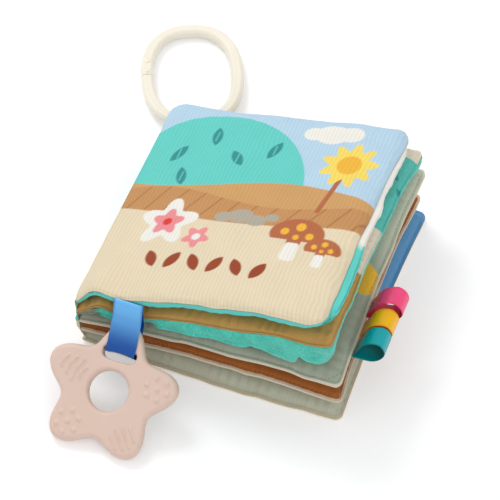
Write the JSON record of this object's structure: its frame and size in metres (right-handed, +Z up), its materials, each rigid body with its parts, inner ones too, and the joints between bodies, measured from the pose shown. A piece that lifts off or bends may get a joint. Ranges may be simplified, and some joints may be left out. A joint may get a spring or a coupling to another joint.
{
  "type": "crinkle cloth book",
  "caption": "Soft square cloth book with padded leaves on a cloth spine, a plush page, satin tag loops, a silicone teether on a ribbon and a plastic clip ring on a strap.",
  "frame": {"origin": "centre of the flat resting face of the back cover", "axes": "+X from the spine to the fore-edge, +Y from the front edge (teether side) to the back edge (ring side), +Z up out of the front cover"},
  "size_m": [0.2484, 0.3564, 0.0991],
  "materials": {
    "print_cloth": "printed cotton twill, matt",
    "lining_cloth": "turquoise cotton, matt",
    "ochre_cloth": "cotton, matt",
    "plush": "short plush pile",
    "sage_cloth": "cotton twill, matt",
    "brown_cloth": "cotton, matt",
    "pale_cloth": "cotton, matt",
    "padding": "polyester wadding",
    "film": "thin crackling film",
    "blue_satin": "satin ribbon, glossy",
    "pink_satin": "satin ribbon, glossy",
    "yellow_satin": "satin ribbon, glossy",
    "teal_satin": "satin ribbon, glossy",
    "silicone": "matt moulded silicone",
    "ring_plastic": "smooth cream plastic"
  },
  "bodies": {
    "back_cover": {"back_cover_lining": "sage_cloth", "back_cover_cloth": "print_cloth", "back_cover_padding": "padding", "back_cover_spine_cloth": "print_cloth"},
    "plain_page": {"plain_page_upper_cloth": "brown_cloth", "plain_page_lower_cloth": "pale_cloth", "plain_page_padding": "padding", "plain_page_crinkle_film": "film", "plain_page_spine_cloth": "print_cloth"},
    "tag_page": {"tag_page_upper_cloth": "sage_cloth", "tag_page_lower_cloth": "brown_cloth", "tag_page_padding": "padding", "tag_page_crinkle_film": "film", "tag_page_spine_cloth": "print_cloth"},
    "plush_page": {"plush_page_cloth": "ochre_cloth", "plush_page_plush": "plush", "plush_page_padding": "padding", "plush_page_spine_cloth": "print_cloth"},
    "front_cover": {"front_cover_cloth": "print_cloth", "front_cover_lining": "lining_cloth", "front_cover_padding": "padding", "front_cover_spine_cloth": "print_cloth"},
    "hanger": {"teether_ribbon": "blue_satin"},
    "teether": {"teether": "silicone"},
    "strap": {"ring_strap": "teal_satin"},
    "ring": {"clip_ring": "ring_plastic"},
    "teal_tag": {"teal_tag_loop": "teal_satin"},
    "yellow_tag": {"yellow_tag_loop": "yellow_satin"},
    "pink_tag": {"pink_tag_loop": "pink_satin"}
  },
  "joints": [
    {"name": "plain_page_turn", "type": "hinge", "parent": "back_cover", "child": "plain_page", "pos_m": [-0.0875, 0, 0.0091], "axis": [0, -1, 0], "range_deg": [0, 38]},
    {"name": "tag_page_turn", "type": "hinge", "parent": "plain_page", "child": "tag_page", "pos_m": [-0.0879, 0, 0.01819], "axis": [0, -1, 0], "range_deg": [0, 38]},
    {"name": "plush_page_turn", "type": "hinge", "parent": "tag_page", "child": "plush_page", "pos_m": [-0.08897, 0, 0.02723], "axis": [0, -1, 0], "range_deg": [0, 38]},
    {"name": "front_cover_turn", "type": "hinge", "parent": "plush_page", "child": "front_cover", "pos_m": [-0.09108, 0, 0.03608], "axis": [0, -1, 0], "range_deg": [0, 162]},
    {"name": "teether_ribbon_swing", "type": "hinge", "parent": "front_cover", "child": "hanger", "pos_m": [-0.05496, -0.08708, 0.05841], "axis": [-1, 0, 0], "range_deg": [-3, 90]},
    {"name": "teether_tip", "type": "hinge", "parent": "hanger", "child": "teether", "pos_m": [-0.0523, -0.10781, 0.03501], "axis": [-1, 0, 0], "range_deg": [0, 6]},
    {"name": "ring_strap_swing", "type": "hinge", "parent": "back_cover", "child": "strap", "pos_m": [-0.0805, 0.09109, 0.00255], "axis": [0.9135, 0.4067, 0], "range_deg": [-60, 40]},
    {"name": "clip_ring_swing", "type": "hinge", "parent": "strap", "child": "ring", "pos_m": [-0.0868, 0.10525, 0.00705], "axis": [0.9135, 0.4067, 0], "range_deg": [-75, 15]},
    {"name": "teal_tag_flick", "type": "hinge", "parent": "tag_page", "child": "teal_tag", "pos_m": [0.08549, -0.051, 0.03928], "axis": [0, -1, 0], "range_deg": [-25, 25], "stiffness_Nm_per_rad": 0.002},
    {"name": "yellow_tag_flick", "type": "hinge", "parent": "tag_page", "child": "yellow_tag", "pos_m": [0.08486, -0.0359, 0.04029], "axis": [0, -1, 0], "range_deg": [-25, 25], "stiffness_Nm_per_rad": 0.002},
    {"name": "pink_tag_flick", "type": "hinge", "parent": "tag_page", "child": "pink_tag", "pos_m": [0.08424, -0.0208, 0.04257], "axis": [0, -1, 0], "range_deg": [-25, 25], "stiffness_Nm_per_rad": 0.002}
  ]
}
